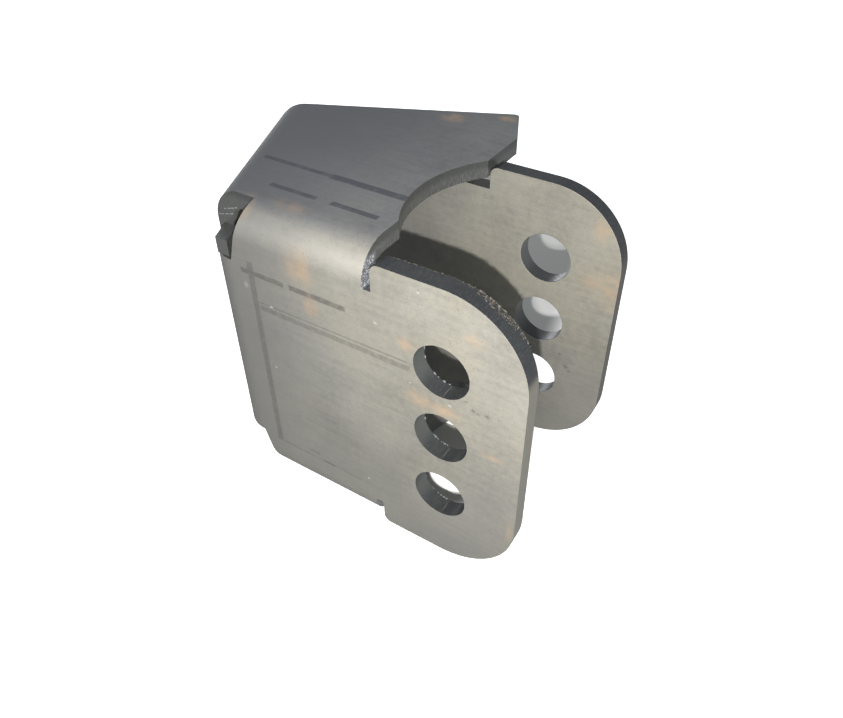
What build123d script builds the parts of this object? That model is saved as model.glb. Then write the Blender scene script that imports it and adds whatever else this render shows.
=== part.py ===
from build123d import *
import os
from math import cos, radians, sin, tan

# Frame link mount bracket: two ears with three bolt holes each, on an open box that is
# welded to the side of a vehicle frame. Millimetres. The origin is on the axis of the
# middle bolt hole, midway between the ears. +X points out of the ears' free ends, +Y runs
# from the folded ear to the loose one, and +Z is up.

# Sheet and folds
plate_thickness = 6.35
bend_inner_radius = 6.35

# Ears
ear_gap = 66.5
ear_reach = 28.3
ear_height = 115.0
ear_corner_radius = 28.3
ear_rear_reach = 24.0
ear_rear_corner_radius = 3.0

# Bolt holes, one above the other
bolt_hole_diameter = 19.4
bolt_hole_spacing = 27.5

# Box between the ears and the frame rail
box_height = 120.7
side_reach = 89.0
front_relief_width = 3.4

# Edge that meets the rail, turned about Z against the ears
rail_angle = 24.5
rail_edge_offset = 80.6
rail_edge_front_reach = 33.25
rail_corner_radius = 2.0

# Scallop in the top and bottom plates, which clears the end of the link
scallop_radius = 43.2
scallop_depth = 34.0
scallop_offset = 3.8

# Flanges that stiffen the open back
top_flange_depth = 20.0
side_flange_clearance = 0.85
side_flange_reach = 30.0

# Corner relief between the two flanges, with a tongue that reaches back over the side
relief_width = 9.0
relief_top_lead = 6.5
relief_low_lead = 0.4
tongue_height = 6.0
tongue_width = 4.6
tongue_inset = 2.6
tongue_setback = 0.3

# Loose ear plate
ear_notch_width = 10.0
ear_notch_depth = 11.6
rear_clearance = 1.0

# Sizes that follow
bend_outer_radius = bend_inner_radius + plate_thickness
half_width = ear_gap / 2 + plate_thickness
half_height = box_height / 2
fold_y = -half_width + bend_outer_radius
fold_z = half_height - bend_outer_radius
plate_inner_z = half_height - plate_thickness
top_flange_z = half_height - top_flange_depth
side_flange_z = top_flange_z - side_flange_clearance
bend_front_x = -ear_rear_reach - front_relief_width
back_turn = 90 - rail_angle
back_tangent = bend_outer_radius * tan(radians(back_turn / 2))
back_fold_x = -side_reach + back_tangent
relief_y = -half_width + relief_width


def rail_point(inward, along, z=0):
    """Point at a distance in from the back plane and along it from the folded side."""
    turn = radians(rail_angle)
    x = -side_reach + inward * cos(turn) - along * sin(turn)
    y = -half_width + inward * sin(turn) + along * cos(turn)
    return Vector(x, y, z)


inward_direction = rail_point(1, 0) - rail_point(0, 0)
along_direction = rail_point(0, 1) - rail_point(0, 0)


def inward_at(x, along):
    """Distance in from the back plane where a line parallel to the rail edge meets x."""
    start = rail_point(0, along)
    return (x - start.X) / inward_direction.X


def along_at(x, inward):
    """Distance along the back plane where a line parallel to it meets x."""
    start = rail_point(inward, 0)
    return (x - start.X) / along_direction.X


def along_at_y(y, inward):
    """Distance along the back plane where a line parallel to it meets y."""
    start = rail_point(inward, 0)
    return (y - start.Y) / along_direction.Y


rail_edge_width = inward_at(-rail_edge_front_reach, rail_edge_offset)


def fold_sector(turn):
    """Cross-section of a fold: a ring sector from the X axis through the given turn."""
    outer = CenterArc((0, 0), bend_outer_radius, 0, turn)
    inner = CenterArc((0, 0), bend_inner_radius, 0, turn)
    start = Line(inner @ 0, outer @ 0)
    end = Line(inner @ 1, outer @ 1)
    return make_face([outer, end, inner, start])


def span(x_from, x_to, height):
    """Rectangle in a wall's own plane, centred on the middle bolt hole's height."""
    return Pos((x_from + x_to) / 2, 0) * Rectangle(x_to - x_from, height)


def ear_outline():
    """Ear with two large front corners and two small rear ones."""
    ear = span(-ear_rear_reach, ear_reach, ear_height)
    ear = fillet(ear.vertices().group_by(Axis.X)[-1], ear_corner_radius)
    return fillet(ear.vertices().group_by(Axis.X)[0], ear_rear_corner_radius)


def bolt_holes():
    """Three bolt holes on one vertical line."""
    return GridLocations(0, bolt_hole_spacing, 1, 3) * Circle(bolt_hole_diameter / 2)


def standing_plate(outline, inner_y):
    """Upright plate from an X-Z outline, with its +Y face at inner_y."""
    return extrude(Plane.XZ.offset(-inner_y) * outline, plate_thickness)


def folded_wall():
    """Folded ear and the flat part of the side behind it."""
    outline = ear_outline() + span(back_fold_x, -ear_rear_reach, 2 * fold_z)
    return standing_plate(outline - bolt_holes(), -ear_gap / 2)


def side_fold():
    """Fold between the side and the plate above it."""
    section = Plane((bend_front_x, fold_y, fold_z), x_dir=(0, -1, 0), z_dir=(-1, 0, 0))
    return extrude(section * fold_sector(90), bend_front_x - back_fold_x)


def cover_plate(back_inset):
    """Flat plate from the side fold to the rail edge, with its back edge at back_inset."""
    front_far = along_at(-ear_rear_reach, rail_edge_width)
    back_near = along_at_y(fold_y, back_inset)
    corners = [
        (bend_front_x, fold_y),
        (bend_front_x, 0),
        (-ear_rear_reach, 0),
        rail_point(rail_edge_width, front_far),
        rail_point(rail_edge_width, rail_edge_offset),
        rail_point(back_inset, rail_edge_offset),
        rail_point(back_inset, back_near),
    ]
    plate = make_face(Polyline(corners, close=True))
    rail_corner = rail_point(rail_edge_width, rail_edge_offset)
    plate = fillet(plate.vertices().sort_by_distance(rail_corner)[0], rail_corner_radius)
    scallop = Pos(scallop_radius - scallop_depth, scallop_offset) * Circle(scallop_radius)
    return extrude(Pos(0, 0, plate_inner_z) * (plate - scallop), plate_thickness)


def back_box(along_from, along_to, z_from, z_to):
    """Upright strip of sheet whose outer face lies in the back plane."""
    length = along_to - along_from
    start = Plane(rail_point(0, along_from, z_from), x_dir=inward_direction)
    strip = Box(plate_thickness, length, z_to - z_from, align=Align.MIN)
    return start * strip


def side_shoulder():
    """What lies outside the round of the side fold, carried on past the back."""
    middle = bend_outer_radius / 2
    square = Pos(middle, middle) * Rectangle(bend_outer_radius, bend_outer_radius)
    section = Plane((0, fold_y, fold_z), x_dir=(0, -1, 0), z_dir=(-1, 0, 0))
    return extrude(section * (square - Circle(bend_outer_radius)), 2 * side_reach)


def top_back_flange():
    """Fold and flange down the back of the top plate, rounded like the side at its near end."""
    origin = rail_point(bend_outer_radius, 0, fold_z)
    section = Plane(origin, x_dir=-inward_direction, z_dir=along_direction)
    fold = extrude(section * fold_sector(90), rail_edge_offset)
    return fold - side_shoulder() + back_box(0, rail_edge_offset, top_flange_z, fold_z)


def corner_relief():
    """Notch where the folds of the top and of the side would meet, slanted at its front."""
    behind_x = back_fold_x - side_reach
    corners = [
        (behind_x, side_flange_z),
        (back_fold_x + relief_low_lead, side_flange_z),
        (back_fold_x + relief_top_lead, half_height),
        (behind_x, half_height),
    ]
    return extrude(Plane.XZ.offset(-relief_y) * make_face(Polyline(corners, close=True)), relief_width)


def tongue():
    """Tongue at the foot of the top's back flange that reaches over the side's fold."""
    end_y = -half_width + tongue_setback
    inner = tongue_inset + tongue_width
    corners = [
        rail_point(tongue_inset, along_at_y(end_y, tongue_inset)),
        rail_point(inner, along_at_y(end_y, inner)),
        rail_point(inner, bend_outer_radius),
        rail_point(tongue_inset, bend_outer_radius),
    ]
    return extrude(Pos(0, 0, top_flange_z) * make_face(Polyline(corners, close=True)), tongue_height)


def side_back_flange():
    """Fold and flange down the back of the side."""
    top = side_flange_z
    origin = (back_fold_x, fold_y, top)
    section = Plane(origin, x_dir=(0, -1, 0), z_dir=(0, 0, -1))
    fold = extrude(section * fold_sector(back_turn), 2 * top)
    return fold + back_box(back_tangent, side_flange_reach, -top, top)


def folded_body():
    """One folded sheet: ear, side, top, bottom and back flanges."""
    upper = side_fold() + cover_plate(bend_outer_radius) + top_back_flange()
    lower = mirror(side_fold() + cover_plate(plate_thickness), about=Plane.XY)
    body = folded_wall() + upper + lower
    body -= corner_relief() + mirror(corner_relief(), about=Plane.XY)
    return body + side_back_flange() + tongue()


def loose_ear_rear_x():
    """Rear end of the loose ear plate, clear of the rail and of the top's rear fold."""
    rail_inward = (2 * half_width - rail_edge_offset * along_direction.Y) / inward_direction.Y
    fold_along = along_at_y(half_width - plate_thickness, bend_outer_radius)
    rail_x = rail_point(rail_inward, rail_edge_offset).X
    fold_x = rail_point(bend_outer_radius, fold_along).X
    return max(rail_x, fold_x) + rear_clearance


def loose_ear_plate():
    """Flat ear plate that stands between the top and bottom plates."""
    rear_x = loose_ear_rear_x()
    notch_x = -ear_rear_reach - ear_notch_width
    outline = ear_outline() + span(rear_x, notch_x, 2 * plate_inner_z)
    outline += span(notch_x, -ear_rear_reach, box_height - 2 * ear_notch_depth)
    return standing_plate(outline - bolt_holes(), half_width)


def main():
    os.makedirs("parts", exist_ok=True)
    nodes = {"folded_body": folded_body(), "loose_ear_plate": loose_ear_plate()}
    for name, shape in nodes.items():
        export_step(shape, f"parts/{name}.step")
        print(name, round(shape.volume), shape.is_valid)


main()
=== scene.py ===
import math
import random

import bmesh
import bpy
from mathutils import Matrix, Quaternion, Vector
from mathutils.bvhtree import BVHTree


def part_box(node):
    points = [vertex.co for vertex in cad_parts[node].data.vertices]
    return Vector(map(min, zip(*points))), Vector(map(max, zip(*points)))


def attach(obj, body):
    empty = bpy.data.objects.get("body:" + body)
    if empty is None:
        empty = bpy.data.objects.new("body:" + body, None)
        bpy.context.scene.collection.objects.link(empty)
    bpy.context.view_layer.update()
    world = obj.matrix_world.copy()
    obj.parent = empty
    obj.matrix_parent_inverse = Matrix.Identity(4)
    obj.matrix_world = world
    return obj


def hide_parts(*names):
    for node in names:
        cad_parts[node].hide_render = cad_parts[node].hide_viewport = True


# Frame link mount bracket, bare hot-rolled steel: a folded sheet and a loose ear plate, both
# laser cut. The origin is on the axis of the middle bolt hole, +X points out of the ears' free
# ends and +Z is up. Lengths here are in mm, and become metres in meshes, bumps, lamps and the
# camera.

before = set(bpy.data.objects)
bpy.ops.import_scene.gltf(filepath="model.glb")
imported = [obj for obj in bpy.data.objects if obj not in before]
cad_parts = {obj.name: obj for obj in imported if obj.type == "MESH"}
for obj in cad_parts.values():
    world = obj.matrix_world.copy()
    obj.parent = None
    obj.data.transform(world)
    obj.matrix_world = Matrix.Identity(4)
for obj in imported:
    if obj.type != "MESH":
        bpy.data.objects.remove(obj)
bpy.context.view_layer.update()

MM = 0.001

# Places taken from the frame
side_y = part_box("folded_body")[0].y / MM
top_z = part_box("folded_body")[1].z / MM
floor_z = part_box("folded_body")[0].z / MM
ear_inner_y, ear_outer_y = (corner.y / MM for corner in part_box("loose_ear_plate"))
ear_front_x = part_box("loose_ear_plate")[1].x / MM
ear_top_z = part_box("loose_ear_plate")[1].z / MM
plate_thickness = ear_outer_y - ear_inner_y
near_inner_y = side_y + plate_thickness
side_fold_y = side_y + 2 * plate_thickness
cover_inner_z = top_z - plate_thickness

# Where the ears end and the box begins
BOX_FRONT_X = -24.0

# Bolt holes, and the round of the ears' front corners
HOLE_HEIGHTS = (27.5, 0.0, -27.5)
HOLE_RADIUS = 9.7
EAR_ROUND = 28.3

# Mesh finish
WELD_DISTANCE = 0.002
FLAT_ANGLE = math.radians(0.5)
SHARP_ANGLE = math.radians(12)
EDGE_ROUND = 0.28
THICKNESS_TOLERANCE = 0.2
OPPOSITE_SKIN = 0.9
BUMP_DEPTH = 0.06

# Slots of a plate piece's materials
ROLLED, CUT_UPRIGHT, CUT_LEVEL = range(3)


def mm(*values):
    """Millimetres as metres."""
    return tuple(v * MM for v in values)


class Nodes:
    """A tree of shader nodes, built node by node."""

    def __init__(self, tree):
        self.tree = tree

    def add(self, kind, inputs=None, **settings):
        """A node with its settings made and its inputs joined or filled."""
        node = self.tree.nodes.new(kind)
        for name, value in settings.items():
            setattr(node, name, value)
        for key, value in (inputs or {}).items():
            self.feed(node.inputs[key], value)
        return node

    def feed(self, socket, value):
        """Joins a socket to another one, or fills it with a constant."""
        if isinstance(value, bpy.types.NodeSocket):
            self.tree.links.new(value, socket)
        else:
            socket.default_value = value

    def math(self, operation, a, b=0.0):
        """One step of arithmetic."""
        return self.add("ShaderNodeMath", {0: a, 1: b}, operation=operation).outputs[0]

    def product(self, value, *others):
        """Values multiplied together."""
        for other in others:
            value = self.math("MULTIPLY", value, other)
        return value

    def highest(self, value, *others):
        """The highest of several values."""
        for other in others:
            value = self.math("MAXIMUM", value, other)
        return value

    def add_up(self, *parts):
        """Sum of values, each with its own weight."""
        total = self.math("MULTIPLY", *parts[0])
        for value, weight in parts[1:]:
            total = self.math("ADD", total, self.math("MULTIPLY", value, weight))
        return total


class Finish(Nodes):
    """A procedural material on Object coordinates, turned to mm."""

    def __init__(self, name):
        self.material = bpy.data.materials.new(name)
        self.material.use_nodes = True
        super().__init__(self.material.node_tree)
        self.shader = self.tree.nodes["Principled BSDF"]
        here = self.add("ShaderNodeTexCoord").outputs["Object"]
        scaled = self.add("ShaderNodeVectorMath", {0: here, "Scale": 1 / MM}, operation="SCALE")
        self.place = scaled.outputs[0]
        self.x, self.y, self.z = self.add("ShaderNodeSeparateXYZ", {0: self.place}).outputs

    def ease(self, value, start, end):
        """Smooth step from 0 at start to 1 at end."""
        ends = {0: value, 1: start, 2: end}
        return self.add("ShaderNodeMapRange", ends, interpolation_type="SMOOTHSTEP").outputs[0]

    def mix(self, factor, a, b, blend="MIX"):
        """Colour a where the factor is 0 and b, or the two blended, where it is 1."""
        node = self.add("ShaderNodeMix", data_type="RGBA", blend_type=blend)
        for name, value in (("Factor_Float", factor), ("A_Color", a), ("B_Color", b)):
            socket = next(s for s in node.inputs if s.identifier == name)
            self.feed(socket, value)
        return next(s for s in node.outputs if s.identifier == "Result_Color")

    def mapped(self, scale, shift):
        """The place, scaled and then shifted along each axis."""
        inputs = {"Vector": self.place, "Scale": scale, "Location": shift}
        return self.add("ShaderNodeMapping", inputs).outputs[0]

    def noise(self, size, detail=3.0, stretch=(1, 1, 1), shift=0.0):
        """Noise whose features are about size across, drawn out by stretch along each axis."""
        place = self.mapped(tuple(1 / (size * s) for s in stretch), (shift,) * 3)
        node = self.add("ShaderNodeTexNoise", {"Vector": place, "Scale": 1.0, "Detail": detail})
        return node.outputs["Fac"]

    def spot(self, centre, radii, soft):
        """Mask of an ellipsoid, 1 inside and 0 outside, with soft as the share that fades."""
        shift = tuple(-c / r for c, r in zip(centre, radii))
        place = self.mapped(tuple(1 / r for r in radii), shift)
        length = self.add("ShaderNodeVectorMath", {0: place}, operation="LENGTH")
        return self.ease(length.outputs["Value"], 1.0, 1.0 - soft)

    def spots(self, places, soft):
        """Mask of several ellipsoids, each with a centre and radii."""
        return self.highest(*(self.spot(centre, radii, soft) for centre, radii in places))

    def band(self, value, low, high, soft):
        """Mask of the stretch between low and high."""
        middle, half = (low + high) / 2, (high - low) / 2
        away = self.math("ABSOLUTE", self.math("SUBTRACT", value, middle))
        return self.ease(away, half + soft / 2, half - soft / 2)

    def surface(self, colour, metallic, roughness):
        """Gives the shader its colour, metallic share and roughness."""
        self.feed(self.shader.inputs["Base Color"], colour)
        self.feed(self.shader.inputs["Metallic"], metallic)
        self.feed(self.shader.inputs["Roughness"], roughness)

    def bump(self, height, strength):
        """Fine relief from a height between 0 and 1."""
        inputs = {"Height": height, "Strength": strength, "Distance": BUMP_DEPTH * MM}
        self.feed(self.shader.inputs["Normal"], self.add("ShaderNodeBump", inputs).outputs[0])


# Hot-rolled skin, linear colours
LIGHT_SCALE = (0.372, 0.366, 0.328, 1)
DARK_SCALE = (0.215, 0.215, 0.21, 1)
WARM_TINT = (1.0, 0.975, 0.915, 1)
# Painted shade and sky reflection on the top skin, which is multiplied darker and bluer
TOP_SHADE_TINT = (0.66, 0.69, 0.78, 1)
SCALE_SPECK = (0.14, 0.14, 0.14, 1)
# Painted highlight on the outside of the side fold
FOLD_HIGHLIGHT = (0.62, 0.60, 0.56, 1)
SIDE_MARK = (0.112, 0.109, 0.10, 1)
TOP_MARK = (0.092, 0.098, 0.112, 1)
RUST = (0.52, 0.37, 0.245, 1)
NICK = (0.50, 0.49, 0.46, 1)
PIT = (0.125, 0.12, 0.105, 1)

# Scribe and press marks on the side: x from, x to, z from, z to, darkness
SIDE_MARKS = (
    (-76.6, -58.7, 36.3, 38.3, 0.55),
    (-56.3, -34.2, 36.3, 38.3, 0.60),
    (-73.5, -71.1, -41.0, 41.5, 0.42),
    (-70.5, -11.0, 22.8, 24.9, 0.36),
    (-70.5, -12.0, 25.8, 26.4, 0.40),
    (-71.6, -33.5, -41.3, -40.3, 0.22),
    (-57.7, -52.5, -38.7, -37.7, 0.30),
    (-51.6, -45.7, -41.4, -40.2, 0.50),
)

# The same on the top plate: x from, x to, y from, y to, darkness
TOP_MARKS = (
    (-75.9, -57.0, -22.5, -20.4, 0.88),
    (-51.2, -33.4, -22.5, -20.2, 1.00),
    (-93.0, -60.0, -7.6, -5.5, 0.80),
    (-62.5, -30.0, -8.2, -5.0, 0.90),
)

# How far the ends and the long sides of a mark fade
MARK_END_FADE = 0.8
MARK_SIDE_FADE = 0.6

# Rust stains: centre, radii
STAINS = (
    ((-51, -38, 46), (8, 9, 10)),
    ((-48, -39.6, 33), (5, 3, 6)),
    # This stain, over the top of the side fold, is partly rust and partly painted soft shade
    ((-60, -30, 62.4), (14, 6, 4)),
    ((-76, -33, 57), (5, 8, 6)),
    ((-12, -39.6, 33), (4.5, 2, 3.5)),
    ((-8, -39.6, 13.5), (7, 2, 5)),
    ((1, -39.6, 12.5), (9, 2, 4)),
    ((18.5, -39.6, 1.5), (6, 2, 2)),
    ((26.5, -40.4, -29), (2.5, 1.6, 11)),
    ((11, -39.6, 44), (5, 2, 3)),
    ((22, 33.25, 24), (11, 2, 6)),
    ((26, 33.25, 22), (8, 2, 12)),
    ((24, 33.25, 26), (6, 2, 5)),
    ((20, 33.25, 45), (5, 2, 7)),
    ((-53, 58, 60.35), (8, 6, 2)),
    ((-35, 68, 60.35), (6, 4, 2)),
)

# Dark pits: centre, radii
PITS = (
    ((8.7, -39.6, 20.2), (1.2, 0.6, 0.6)),
    ((11.2, -39.6, 17.8), (1.4, 0.6, 1.0)),
    ((12.8, -39.6, 17.3), (1.1, 0.6, 0.7)),
    ((15.9, -39.6, 17.8), (1.2, 0.6, 0.8)),
    ((13.4, 33.25, -18.4), (1.6, 0.6, 1.3)),
    ((15.0, 33.25, -20.1), (1.2, 0.6, 0.9)),
    ((10.4, 33.25, -13.0), (0.9, 0.6, 0.7)),
)

# Bright nicks: centre, radii
NICKS = (
    ((-30.0, -39.6, -37.8), (0.8, 0.6, 0.7)),
    ((-23.0, -39.6, 36.7), (1.1, 0.6, 0.6)),
    ((-7.6, -39.6, 53.5), (0.8, 0.5, 0.5)),
    ((3.3, -39.6, 15.8), (1.0, 0.6, 0.7)),
    ((-65.5, -39.6, 26.0), (1.2, 0.6, 0.6)),
    ((-75.5, -39.95, 31.5), (1.8, 0.6, 2.6)),
    ((-11.0, -39.6, 18.5), (0.5, 0.5, 0.5)),
    ((-68.0, -39.6, -1.5), (0.8, 0.5, 0.6)),
)


def mill_scale(steel, blotch, grain):
    """Blotched scale with specks, warmer to the front, with painted shade that darkens it
    towards the back and the foot.
    """
    colour = steel.mix(steel.ease(blotch, 0.21, 0.69), DARK_SCALE, LIGHT_SCALE)
    frontward = steel.ease(steel.x, -60, 0)
    patchy = steel.ease(steel.noise(30, detail=4, shift=7.9), 0.42, 0.62)
    warm = steel.add_up((frontward, 0.45), (patchy, 0.45))
    colour = steel.mix(warm, colour, WARM_TINT, blend="MULTIPLY")
    specks = steel.product(steel.ease(grain, 0.46, 0.72), 0.26)
    colour = steel.mix(specks, colour, SCALE_SPECK)
    # Painted shade: darker towards the back and towards the foot, where the key light falls off
    painted_shade_back = steel.product(steel.ease(steel.x, -20, -95), 0.85)
    painted_shading_low = steel.product(steel.ease(steel.z, 15, -60), 0.60)
    return steel.mix(steel.highest(painted_shade_back, painted_shading_low), colour, DARK_SCALE)


def painted_fold_highlight(steel, colour):
    """Painted highlight over the outside of the side fold, brighter towards its front end."""
    around = steel.band(steel.z, 51, 57, 7)
    outside = steel.ease(steel.y, -26, -31)
    behind_ear = steel.ease(steel.x, BOX_FRONT_X + 0.5, BOX_FRONT_X - 1)
    frontward = steel.add_up((steel.ease(steel.x, -62, -36), 0.45), (behind_ear, 0.55))
    painted_shine = steel.product(around, outside, behind_ear, frontward, 0.38)
    return steel.mix(painted_shine, colour, FOLD_HIGHLIGHT)


def mark_masks(steel, gate, across, marks):
    """Masks of straight marks on the face that gate picks out."""
    masks = []
    for x_from, x_to, low, high, darkness in marks:
        along = steel.band(steel.x, x_from, x_to, MARK_END_FADE)
        over = steel.band(across, low, high, MARK_SIDE_FADE)
        masks.append(steel.product(along, over, gate, darkness))
    return masks


def press_marks(steel, colour, worn, top_skin):
    """Straight dark marks on the side and on the top plate, worn in places."""
    on_side = steel.ease(steel.y, side_y + 0.15, side_y + 0.05)
    on_top = steel.ease(steel.z, top_z - 0.15, top_z - 0.05)
    side_masks = mark_masks(steel, on_side, steel.z, SIDE_MARKS)
    top_masks = mark_masks(steel, on_top, steel.y, TOP_MARKS)
    left = steel.add_up((worn, 0.4), (1.0, 0.8))
    marked = steel.product(steel.highest(*side_masks, *top_masks), left)
    return steel.mix(marked, colour, steel.mix(top_skin, SIDE_MARK, TOP_MARK))


def rust_stains(steel, colour):
    """Thin rust in broken patches."""
    broken = steel.ease(steel.noise(5, detail=6, shift=3.7), 0.32, 0.60)
    strength = steel.add_up((broken, 0.46), (1.0, 0.14))
    return steel.mix(steel.product(steel.spots(STAINS, 0.95), strength), colour, RUST)


def nicks_and_pits(steel, colour, worn):
    """Bright nicks, dark pits, and finer pits all over."""
    colour = steel.mix(steel.spots(NICKS, 0.9), colour, NICK)
    fine = steel.ease(steel.noise(0.8, detail=1, shift=5.3), 0.69, 0.77)
    uneven = steel.add_up((worn, 0.6), (1.0, 0.4))
    placed = steel.product(steel.spots(PITS, 0.9), uneven, 0.70)
    return steel.mix(steel.highest(steel.product(fine, 0.42), placed), colour, PIT)


def rolled_steel():
    """Hot-rolled skin: mottled mill scale with painted shade, a painted highlight on the fold, a
    painted darker and bluer top, press marks, rust, nicks and pits.
    """
    steel = Finish("hot_rolled_steel")
    cloud = steel.noise(26, detail=5)
    streak = steel.noise(1.4, detail=5, stretch=(14, 1, 1))
    mottle = steel.noise(2.2, detail=6, shift=2.1)
    grain = steel.noise(0.40, detail=2)
    blotch = steel.add_up((cloud, 0.48), (streak, 0.22), (mottle, 0.30))
    worn = steel.ease(mottle, 0.66, 0.42)
    top_skin = steel.ease(steel.z, top_z - 3.2, top_z - 0.1)

    colour = mill_scale(steel, blotch, grain)
    colour = painted_fold_highlight(steel, colour)
    # Painted shade and sky reflection: the top skin darker and bluer
    colour = steel.mix(top_skin, colour, TOP_SHADE_TINT, blend="MULTIPLY")
    colour = press_marks(steel, colour, worn, top_skin)
    colour = rust_stains(steel, colour)
    colour = nicks_and_pits(steel, colour, worn)

    dullness = steel.add_up((cloud, 0.10), (mottle, 0.14), (top_skin, 0.20), (1.0, 0.58))
    steel.surface(colour, metallic=0.38, roughness=dullness)
    steel.bump(steel.add_up((grain, 0.45), (mottle, 0.35), (streak, 0.20)), 0.45)
    return steel.material


# Laser-cut edges, linear colours
DARK_EAR_CUT = (0.026, 0.029, 0.032, 1)
LIGHT_EAR_CUT = (0.054, 0.057, 0.061, 1)
DARK_BOX_CUT = (0.072, 0.076, 0.076, 1)
LIGHT_BOX_CUT = (0.150, 0.154, 0.150, 1)
OUTER_CUT = (0.055, 0.060, 0.060, 1)
# Lower cuts, partly bare metal and partly painted light that lifts their shade
LOW_CUT_LIFTED = (0.24, 0.24, 0.23, 1)
# Bolt-hole walls, with painted light on the side that faces the key light
HOLE_WALL = (0.13, 0.14, 0.135, 1)
NEAR_FRONT = (0.19, 0.183, 0.158, 1)
FAR_FRONT = (0.07, 0.067, 0.06, 1)
FOLD_END = (0.22, 0.23, 0.25, 1)
# Bright grains at the fold's front end, partly their own colour and partly painted glints
GRAIN_GLINT = (0.62, 0.68, 0.76, 1)


def box_cuts(steel, colour, on_box, height):
    """Cuts of the box's top and bottom plates, darker towards the outside."""
    outer = steel.ease(height, cover_inner_z + 2.4, top_z - 1.4)
    return steel.mix(steel.product(outer, on_box, 0.75), colour, OUTER_CUT)


def hole_walls(steel, colour, height):
    """Walls of the bolt holes, lighter towards the box, where the wall faces the key light: that
    side's lightness is a painted highlight.
    """
    in_holes = steel.product(steel.band(steel.x, -13, 13, 1), steel.ease(height, 42, 39))
    lighter = steel.add_up((1.0, 0.16), (steel.ease(steel.x, -5, -9.5), 0.42))
    return steel.mix(steel.product(in_holes, lighter), colour, HOLE_WALL)


def low_cuts_lifted(steel, colour, on_box):
    """Cuts of the box's lower half, lighter than those above: partly bare cut metal and partly
    painted light that lifts the shade on them.
    """
    painted_shading_low = steel.product(on_box, steel.ease(steel.z, 0, -10), 0.7)
    return steel.mix(painted_shading_low, colour, LOW_CUT_LIFTED)


def ear_fronts(steel, colour):
    """Front edges of the ears, nearly bare on the near one."""
    front = steel.ease(steel.x, ear_front_x - 0.9, ear_front_x - 0.1)
    bare = steel.mix(steel.ease(steel.y, 0, 10), NEAR_FRONT, FAR_FRONT)
    return steel.mix(front, colour, bare)


def fold_front(steel, colour):
    """Front end of the side fold, with bright grains, partly their own colour and partly painted
    glints.
    """
    below_top = steel.ease(steel.z, 57, 55)
    outside = steel.ease(steel.y, -31, -33)
    on_end = steel.product(below_top, outside, steel.band(steel.x, -28.2, -26.8, 0.6))
    colour = steel.mix(steel.product(on_end, 0.55), colour, FOLD_END)
    grain_glints = steel.ease(steel.noise(0.40, detail=1), 0.52, 0.66)
    return steel.mix(steel.product(on_end, grain_glints), colour, GRAIN_GLINT)


def cut_steel(name, across):
    """Laser-cut edge: dark oxide with fine lines across the sheet, along the given axis."""
    steel = Finish(name)
    stretch = tuple(9 if axis == across else 1 for axis in "xyz")
    lines = steel.noise(0.22, detail=3, stretch=stretch)
    on_box = steel.ease(steel.x, BOX_FRONT_X + 1.5, BOX_FRONT_X + 0.2)
    height = steel.math("ABSOLUTE", steel.z)
    dark = steel.mix(on_box, DARK_EAR_CUT, DARK_BOX_CUT)
    light = steel.mix(on_box, LIGHT_EAR_CUT, LIGHT_BOX_CUT)

    colour = steel.mix(steel.ease(lines, 0.35, 0.75), dark, light)
    colour = box_cuts(steel, colour, on_box, height)
    colour = hole_walls(steel, colour, height)
    colour = low_cuts_lifted(steel, colour, on_box)
    colour = ear_fronts(steel, colour)
    colour = fold_front(steel, colour)
    steel.surface(colour, metallic=0.25, roughness=0.42)
    steel.bump(lines, 0.5)
    return steel.material


def made_object(name, mesh, materials):
    """A bmesh as an object of the scene, at the origin."""
    data = bpy.data.meshes.new(name)
    mesh.to_mesh(data)
    mesh.free()
    for material in materials:
        data.materials.append(material)
    item = bpy.data.objects.new(name, data)
    bpy.context.scene.collection.objects.link(item)
    return item


def in_cover(x, y, z):
    """Whether a face's centre is in the box's top or bottom plate, its front plane included."""
    behind_ears = x < BOX_FRONT_X + WELD_DISTANCE
    past_fold = y > side_fold_y + WELD_DISTANCE
    return behind_ears and past_fold and abs(z) > cover_inner_z + WELD_DISTANCE


def mark_cut_faces(mesh):
    """Tells cut faces from skin: only through the skin is the sheet one thickness deep."""
    tree = BVHTree.FromBMesh(mesh)
    for face in mesh.faces:
        inward = -face.normal
        centre = face.calc_center_median()
        hit = tree.ray_cast(centre + inward * WELD_DISTANCE * MM, inward)
        through = hit[0] is not None and abs(hit[3] / MM - plate_thickness) < THICKNESS_TOLERANCE
        if through and hit[1].dot(inward) > OPPOSITE_SKIN:
            face.material_index = ROLLED
        elif in_cover(*(centre / MM)):
            face.material_index = CUT_LEVEL
        else:
            face.material_index = CUT_UPRIGHT


def plate_piece(name, node, materials):
    """A CAD node as one welded mesh with rounded edges, which stands for the node."""
    mesh = bmesh.new()
    mesh.from_mesh(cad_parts[node].data)
    bmesh.ops.remove_doubles(mesh, verts=mesh.verts, dist=WELD_DISTANCE * MM)
    mesh.normal_update()
    mark_cut_faces(mesh)
    bmesh.ops.dissolve_limit(
        mesh, angle_limit=FLAT_ANGLE, verts=mesh.verts, edges=mesh.edges, delimit={"MATERIAL"}
    )
    shared = [e for e in mesh.edges if len(e.link_faces) == 2]
    sharp = [e for e in shared if e.calc_face_angle() > SHARP_ANGLE]
    bmesh.ops.bevel(
        mesh, geom=sharp, offset=EDGE_ROUND * MM, segments=2, profile=0.5, affect="EDGES",
        material=-1, clamp_overlap=True
    )
    piece = made_object(name, mesh, materials)
    piece.data.shade_smooth()
    weights = piece.modifiers.new("flat_faces_stay_flat", "WEIGHTED_NORMAL")
    weights.weight = 100
    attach(piece, "root")
    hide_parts(node)


# Beads that the laser left, linear colours
DARK_DROSS = (0.045, 0.042, 0.038, 1)
LIGHT_DROSS = (0.125, 0.113, 0.097, 1)
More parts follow.
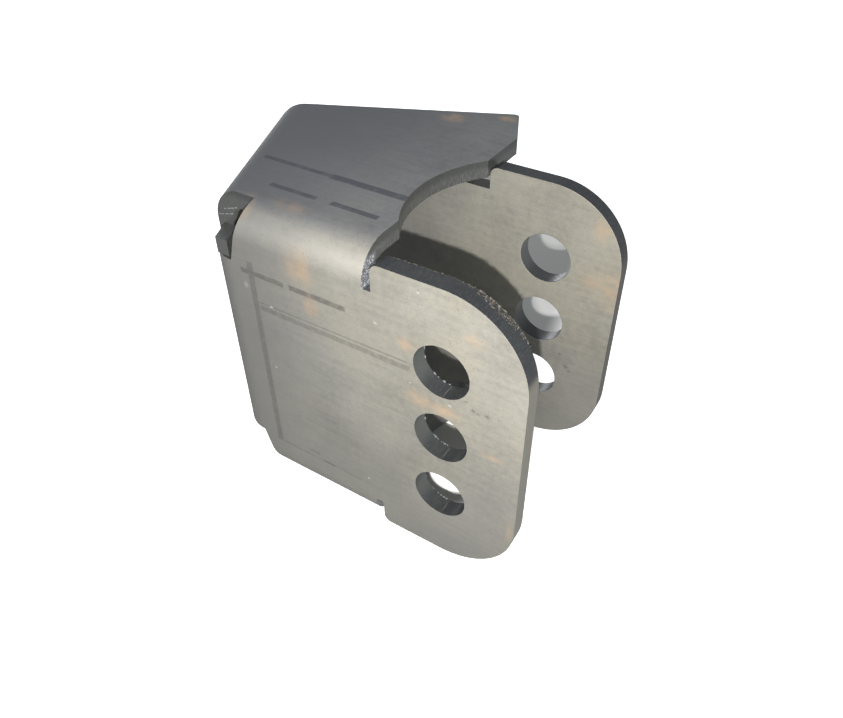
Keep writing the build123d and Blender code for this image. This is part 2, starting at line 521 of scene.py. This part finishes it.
# Painted highlight on the beads at the holes and at the rear corner, which stands for their
# glints
HOLE_GLINT_BEAD = (0.17, 0.185, 0.19, 1)
CORNER_GLINT_BEAD = (0.28, 0.30, 0.31, 1)
LEAD_LINE = (0.11, 0.11, 0.10, 1)

# Seed of all the beads' places and sizes
BEAD_SEED = 4

# Row along the near ear's top edge: its start, its length, and where its beads get thicker
EDGE_START = -20.0
EDGE_LENGTH = 50
THICKER_FROM = 26

# Crust on that edge's round: how many beads, and from, to and densest along the row
CRUST_BEADS = 150
CRUST_ALONG = (23, 47, 37)

# The crust's greatest and least width, where it is widest, and how far it tapers from there
CRUST_WIDTH = 2.6
CRUST_LEAST = 0.4
CRUST_MIDDLE = 36
CRUST_TAPER = 15

# Angles of the beads round each near hole, in degrees from +X towards +Z
HOLE_BEAD_ANGLES = (193, 229, 233, 241, 255, 259, 264)
LEAD_IN_ANGLE = 272.5
LONG_BEAD_ANGLE = 172

# Rows of glints on the rear fold's end: the end's plane, and x from, z from, x to, z to
CORNER_Y = -30.6
CORNER_ROWS = ((-89.8, 51.5, -83.7, 53.5), (-92.6, 48.8, -85.5, 50.7))
GLINTS_IN_ROW = 7


def dross_steel():
    """Dark beads, lighter at the holes and at the rear corner, where the lighter colour is a
    painted highlight on the beads.
    """
    steel = Finish("dross")
    crust = steel.ease(steel.noise(0.9), 0.42, 0.66)
    colour = steel.mix(crust, DARK_DROSS, LIGHT_DROSS)
    by_holes = steel.ease(steel.math("ABSOLUTE", steel.z), 44, 41)
    colour = steel.mix(by_holes, colour, HOLE_GLINT_BEAD)
    at_corner = steel.ease(steel.x, -70, -75)
    colour = steel.mix(at_corner, colour, CORNER_GLINT_BEAD)
    in_hole = steel.product(steel.band(steel.y, side_y, near_inner_y - 0.8, 0.4), by_holes)
    colour = steel.mix(in_hole, colour, LEAD_LINE)
    steel.surface(colour, metallic=0.1, roughness=0.85)
    return steel.material


def bead(mesh, centre, radii, angle=0.0):
    """Ellipsoid turned about Y, in degrees."""
    place = Matrix.Translation(mm(*centre)) @ Matrix.Rotation(math.radians(angle), 4, "Y")
    shape = place @ Matrix.Diagonal((*mm(*radii), 1))
    bmesh.ops.create_icosphere(mesh, subdivisions=2, radius=1, matrix=shape)


def ear_edge_point(along):
    """X and Z on the ear's top edge, at a length from the row's start towards the front."""
    if along < -EDGE_START:
        return EDGE_START + along, ear_top_z
    turn = (along + EDGE_START) / EAR_ROUND
    return EAR_ROUND * math.sin(turn), ear_top_z - EAR_ROUND * (1 - math.cos(turn))


def edge_beads(mesh, chance):
    """A row along the near ear's inner top edge, with beads that tip forward as it rounds."""
    along = 0.0
    while along < EDGE_LENGTH:
        x, z = ear_edge_point(along)
        thinnest, thickest = (0.12, 0.24) if along < THICKER_FROM else (0.16, 0.34)
        thick = chance.uniform(thinnest, thickest)
        y = near_inner_y + chance.uniform(-0.1, 0.2)
        radii = (thick * chance.uniform(1.0, 2.2), thick, thick)
        bead(mesh, (x, y, z + 0.2 * thick), radii, along)
        along += chance.uniform(0.5, 1.3)


def crust_beads(mesh, chance):
    """Finer beads spread over the round of the same edge, widest at its middle."""
    for _ in range(CRUST_BEADS):
        along = chance.triangular(*CRUST_ALONG)
        x, z = ear_edge_point(along)
        width = CRUST_WIDTH * (1 - abs(along - CRUST_MIDDLE) / CRUST_TAPER)
        thick = chance.uniform(0.06, 0.19)
        y = near_inner_y - chance.uniform(0.0, max(width, CRUST_LEAST))
        radii = (thick * chance.uniform(1.2, 2.4), thick * 1.4, thick)
        bead(mesh, (x, y, z), radii, along)


def hole_point(height, angle):
    """X and Z on the wall of the bolt hole at a height, at an angle in degrees."""
    turn = math.radians(angle)
    return HOLE_RADIUS * math.cos(turn), height + HOLE_RADIUS * math.sin(turn)


def hole_beads(mesh, chance):
    """Beads on each near hole's inner rim, a lead-in line through it and one long bead."""
    middle_y = near_inner_y - plate_thickness / 2
    for height in HOLE_HEIGHTS:
        for angle in HOLE_BEAD_ANGLES:
            x, z = hole_point(height, angle + chance.uniform(-4, 4))
            size = chance.uniform(0.18, 0.45)
            bead(mesh, (x, near_inner_y, z), (size * 1.5, size, size * 0.8), 90 - angle)
        x, z = hole_point(height, LEAD_IN_ANGLE)
        bead(mesh, (x, middle_y, z), (0.16, plate_thickness / 2, 0.08))
        x, z = hole_point(height, LONG_BEAD_ANGLE)
        bead(mesh, (x, near_inner_y, z), (0.18, 0.2, 1.3))


def corner_glints(mesh, chance):
    """Two rows of flat beads on the end of the rear fold."""
    for x_from, z_from, x_to, z_to in CORNER_ROWS:
        slope = -math.degrees(math.atan2(z_to - z_from, x_to - x_from))
        for step in range(GLINTS_IN_ROW):
            share = (step + chance.uniform(0.1, 0.9)) / GLINTS_IN_ROW
            x = x_from + share * (x_to - x_from)
            z = z_from + share * (z_to - z_from)
            radii = (chance.uniform(0.3, 0.7), 0.12, chance.uniform(0.12, 0.28))
            bead(mesh, (x, CORNER_Y, z), radii, slope)


def dross():
    """All the beads as one piece."""
    chance = random.Random(BEAD_SEED)
    mesh = bmesh.new()
    edge_beads(mesh, chance)
    crust_beads(mesh, chance)
    hole_beads(mesh, chance)
    corner_glints(mesh, chance)
    piece = made_object("dross_beads", mesh, [dross_steel()])
    piece.data.shade_smooth()
    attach(piece, "root")


# Floor, linear colours: lit, shaded, and as every ray meets it but the camera's
LIT_FLOOR = (0.85, 0.85, 0.83, 1)
SHADED_FLOOR = (0.44, 0.44, 0.415, 1)
BOUNCE_FLOOR = (0.32, 0.32, 0.31, 1)

# The floor's own glow, and the share of it that reflections see
FLOOR_GLOW = 0.85
MIRRORED_SHARE = 0.35

# Half size of the floor, and the height of the spots that are laid on it
FLOOR_REACH = 3000
SPOT_HEIGHT = 20

# Light through the holes onto the shaded floor: x, y, radius in x, radius in y, glow
LIT_PATCHES = (
    (-51, 206, 17, 33, 0.22),
    (-28, 132, 14, 21, 0.25),
    (-30, 22.6, 7, 4.6, 0.70),
    (-13.5, -4.5, 11.5, 9.5, 0.85),
)


def floor_spot(floor, x, y, radius_x, radius_y, soft):
    """Mask of an ellipse on the floor."""
    return floor.spot((x, y, floor_z), (radius_x, radius_y, SPOT_HEIGHT), soft)


def floor_shade(floor):
    """Mask of the floor's shaded part: a strip under and behind the part, and two spots."""
    beside = floor.add_up((floor.x, 0.98), (floor.y, 0.21))
    under = floor.product(floor.ease(beside, 20, -2), floor.ease(floor.y, -3, 5))
    behind = floor.product(floor.ease(floor.x, -98, -84), floor.ease(floor.y, 218, 203))
    clear = floor.math("SUBTRACT", 1.0, floor_spot(floor, -10, 74, 26, 22, 0.5))
    strip = floor.product(under, behind, clear)
    past_notch = floor_spot(floor, -133, 244, 25, 25, 0.3)
    low_hole = floor_spot(floor, -20, -8, 30, 22, 0.45)
    return floor.highest(strip, past_notch, low_hole)


def lit_patches(floor):
    """Glow of each patch that is lit through a hole."""
    return [
        floor.product(floor_spot(floor, x, y, radius_x, radius_y, 0.12), brightness)
        for x, y, radius_x, radius_y, brightness in LIT_PATCHES
    ]


def pale_floor():
    """Pale floor that the camera sees as white, except where it is shaded."""
    floor = Finish("pale_floor")
    path = floor.add("ShaderNodeLightPath").outputs
    seen = floor.highest(path["Is Camera Ray"], path["Is Transmission Ray"])
    mirrored = floor.product(path["Is Glossy Ray"], MIRRORED_SHARE)
    shaded = floor_shade(floor)
    lit = floor.highest(*lit_patches(floor))
    glow = floor.add_up((1.0, FLOOR_GLOW), (shaded, -FLOOR_GLOW), (shaded, lit))
    colour = floor.mix(seen, BOUNCE_FLOOR, floor.mix(shaded, LIT_FLOOR, SHADED_FLOOR))
    floor.surface(colour, metallic=0.0, roughness=0.8)
    shown = floor.highest(seen, mirrored)
    floor.feed(floor.shader.inputs["Emission Strength"], floor.product(shown, glow))
    floor.feed(floor.shader.inputs["Emission Color"], (1, 1, 1, 1))
    return floor.material


def backdrop():
    """Floor that carries the part's shadow."""
    mesh = bmesh.new()
    bmesh.ops.create_grid(mesh, x_segments=1, y_segments=1, size=FLOOR_REACH * MM)
    bmesh.ops.translate(mesh, verts=mesh.verts, vec=mm(0, 0, floor_z))
    floor = made_object("floor", mesh, [pale_floor()])


# Colours of the lamps
WARM_LIGHT = (1.0, 0.965, 0.91)
COOL_LIGHT = (0.95, 0.97, 1.0)


def lamp(name, place, target, size, power, colour):
    """Round soft lamp that points at the target."""
    data = bpy.data.lights.new(name, "AREA")
    data.shape = "DISK"
    data.size = size * MM
    data.energy = power
    data.color = colour
    item = bpy.data.objects.new(name, data)
    item.location = mm(*place)
    item.rotation_mode = "QUATERNION"
    item.rotation_quaternion = (Vector(target) - Vector(place)).to_track_quat("-Z", "Y")
    bpy.context.scene.collection.objects.link(item)


def lights():
    """A key lamp just below the camera, and soft ones in front and low behind the part."""
    middle = (-20, 0, 0)
    rear = (-40, 0, 0)
    lamp("key", (86, -186, 143.5), middle, size=4, power=0.92, colour=WARM_LIGHT)
    lamp("front_fill", (300, -500, 350), middle, size=400, power=0.24, colour=COOL_LIGHT)
    lamp("rear_fill", (-420, 380, 20), rear, size=350, power=1.3, colour=COOL_LIGHT)


# World: strength at the horizon and overhead, as the camera sees it, and in reflections
HORIZON = 0.68
OVERHEAD = 0.34
OVERHEAD_HEIGHT = 0.8
WHITE = 1.12
MIRRORED_WHITE = 0.39
SKY = (0.90, 0.95, 1.0, 1)


def studio_world():
    """Pale world, brighter near the horizon, which the camera sees as white."""
    world = bpy.data.worlds.new("studio")
    world.use_nodes = True
    sky = Nodes(world.node_tree)
    direction = sky.add("ShaderNodeTexCoord").outputs["Generated"]
    height = sky.add("ShaderNodeSeparateXYZ", {0: direction}).outputs["Z"]
    ends = {0: height, "From Max": OVERHEAD_HEIGHT, "To Min": HORIZON, "To Max": OVERHEAD}
    level = sky.add("ShaderNodeMapRange", ends).outputs[0]
    path = sky.add("ShaderNodeLightPath").outputs
    seen = sky.highest(path["Is Camera Ray"], path["Is Transmission Ray"])
    white = sky.product(seen, WHITE)
    mirrored = sky.product(path["Is Glossy Ray"], MIRRORED_WHITE)
    background = sky.tree.nodes["Background"]
    sky.feed(background.inputs["Color"], SKY)
    sky.feed(background.inputs["Strength"], sky.highest(level, white, mirrored))
    bpy.context.scene.world = world


# Camera, as fitted to the photograph: place, and angles in degrees
CAMERA_PLACE = (80.94, -175.59, 169.13)
AZIMUTH = -30.76
ELEVATION = -37.79
ROLL = 0.59


def camera():
    """Camera at the photograph's viewing angle, close to the part."""
    azimuth, elevation, roll = (math.radians(a) for a in (AZIMUTH, ELEVATION, ROLL))
    level = math.cos(elevation)
    forward = Vector((math.sin(azimuth) * level, math.cos(azimuth) * level, math.sin(elevation)))
    data = bpy.data.cameras.new("camera")
    data.lens = 30.88
    data.sensor_width = 36
    data.shift_x = -0.0235
    data.shift_y = -0.0437
    data.clip_start = 0.01
    data.clip_end = 20
    item = bpy.data.objects.new("camera", data)
    item.location = mm(*CAMERA_PLACE)
    item.rotation_mode = "QUATERNION"
    item.rotation_quaternion = forward.to_track_quat("-Z", "Y") @ Quaternion((0, 0, 1), roll)
    bpy.context.scene.collection.objects.link(item)
    bpy.context.scene.camera = item


bpy.context.scene.view_settings.view_transform = "Standard"
finishes = [rolled_steel(), cut_steel("cut_edge_upright", "y"), cut_steel("cut_edge_level", "z")]
plate_piece("folded_sheet", "folded_body", finishes)
plate_piece("loose_ear", "loose_ear_plate", finishes)
dross()
backdrop()
lights()
studio_world()
camera()
